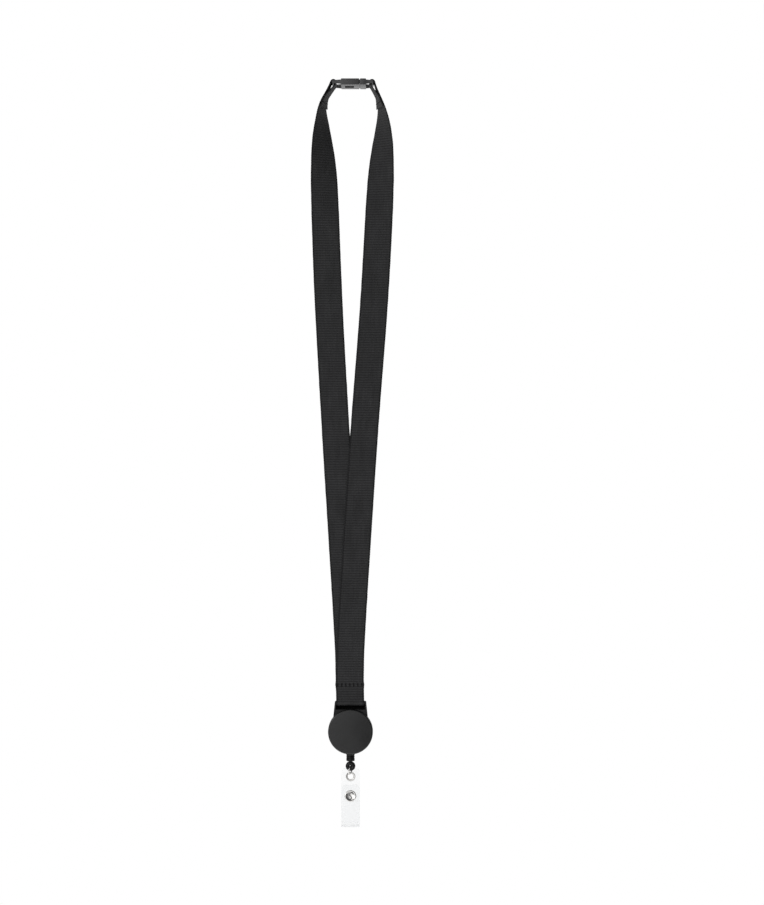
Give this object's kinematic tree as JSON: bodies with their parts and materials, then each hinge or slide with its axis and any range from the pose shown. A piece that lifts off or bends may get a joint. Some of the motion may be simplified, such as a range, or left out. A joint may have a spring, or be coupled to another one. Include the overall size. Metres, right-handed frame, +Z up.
{
  "type": "lanyard badge holder",
  "caption": "Black woven neck lanyard with a breakaway buckle, a round retractable reel on a pull cord, and a clear snap strap that holds a badge.",
  "frame": {"origin": "centre of the buckle socket's underside, which rests on the back of the neck when the lanyard is worn or hung up", "axes": "+Z up along the hanging lanyard, -Y towards the front of the reel, +X towards the buckle's plug"},
  "size_m": [0.0596, 0.024, 0.5328],
  "materials": {
    "buckle_plastic": "moulded acetal, semi-gloss black",
    "webbing": "ribbed polyester grosgrain, black",
    "thread": "twisted polyester sewing thread, black",
    "reel_plastic": "moulded ABS, satin black",
    "steel": "turned steel pin",
    "spring_steel": "blued spring steel",
    "drum_plastic": "natural white acetal",
    "cord": "braided nylon, black",
    "fitting_plastic": "moulded nylon, black",
    "nickel": "nickel-plated brass",
    "clear_vinyl": "flexible clear PVC"
  },
  "bodies": {
    "neck_strap": {"buckle_socket": "buckle_plastic", "strap_left": "webbing", "left_end_stitching": "thread", "bobbin_thread": "thread"},
    "breakaway_side": {"buckle_plug": "buckle_plastic", "strap_right": "webbing", "right_end_stitching": "thread", "needle_thread": "thread"},
    "reel": {"reel_back_case": "reel_plastic", "reel_front_cap": "reel_plastic", "centre_post": "steel", "spiral_spring": "spring_steel", "cord_line": "cord"},
    "spool": {"spool_drum": "drum_plastic", "cord_winding": "cord"},
    "cord_end": {"cord_stop": "fitting_plastic", "cord_knot": "cord"},
    "swivel_ring": {"end_ring": "fitting_plastic"},
    "link": {"link_ring": "nickel"},
    "snap_strap": {"vinyl_strap": "clear_vinyl", "vinyl_fold": "clear_vinyl", "eyelet": "nickel", "snap_stud": "nickel", "snap_back": "nickel"},
    "snap_flap": {"vinyl_flap": "clear_vinyl", "snap_cap": "nickel", "snap_socket": "nickel", "snap_spring": "spring_steel"}
  },
  "joints": [
    {"name": "breakaway_release", "type": "hinge", "parent": "neck_strap", "child": "breakaway_side", "pos_m": [-0.0005, 0, -0.427], "axis": [0, 1, 0], "range_deg": [0, 8]},
    {"name": "reel_swing", "type": "hinge", "parent": "neck_strap", "child": "reel", "pos_m": [0, 0, -0.4398], "axis": [1, 0, 0], "range_deg": [-80, 25]},
    {"name": "spool_spin", "type": "hinge", "parent": "reel", "child": "spool", "pos_m": [0, 0, -0.4604], "axis": [0, 1, 0], "range_deg": [-10, 3700]},
    {"name": "cord_pull", "type": "slide", "parent": "reel", "child": "cord_end", "axis": [0, 0, -1], "range_m": [0, 0.6], "stiffness_N_per_m": 1, "springref_m": -0.5, "deforming": ["cord_line"]},
    {"name": "ring_swivel", "type": "hinge", "parent": "cord_end", "child": "swivel_ring", "pos_m": [0, 0, -0.485], "axis": [0, 0, 1], "continuous": true},
    {"name": "link_swing", "type": "hinge", "parent": "swivel_ring", "child": "link", "pos_m": [0, 0, -0.48745], "axis": [1, 0, 0], "range_deg": [-75, 5]},
    {"name": "strap_swing", "type": "hinge", "parent": "link", "child": "snap_strap", "pos_m": [0, 0.0016, -0.492], "axis": [0, 1, 0], "range_deg": [-15, 15]},
    {"name": "flap_open", "type": "hinge", "parent": "snap_strap", "child": "snap_flap", "pos_m": [0, -0.00105, -0.5254], "axis": [1, 0, 0], "range_deg": [0, 90], "deforming": ["vinyl_fold"]}
  ],
  "couplings": [
    {"joint": "spool_spin", "follows": "cord_pull", "rad_per_m": 106.38}
  ]
}
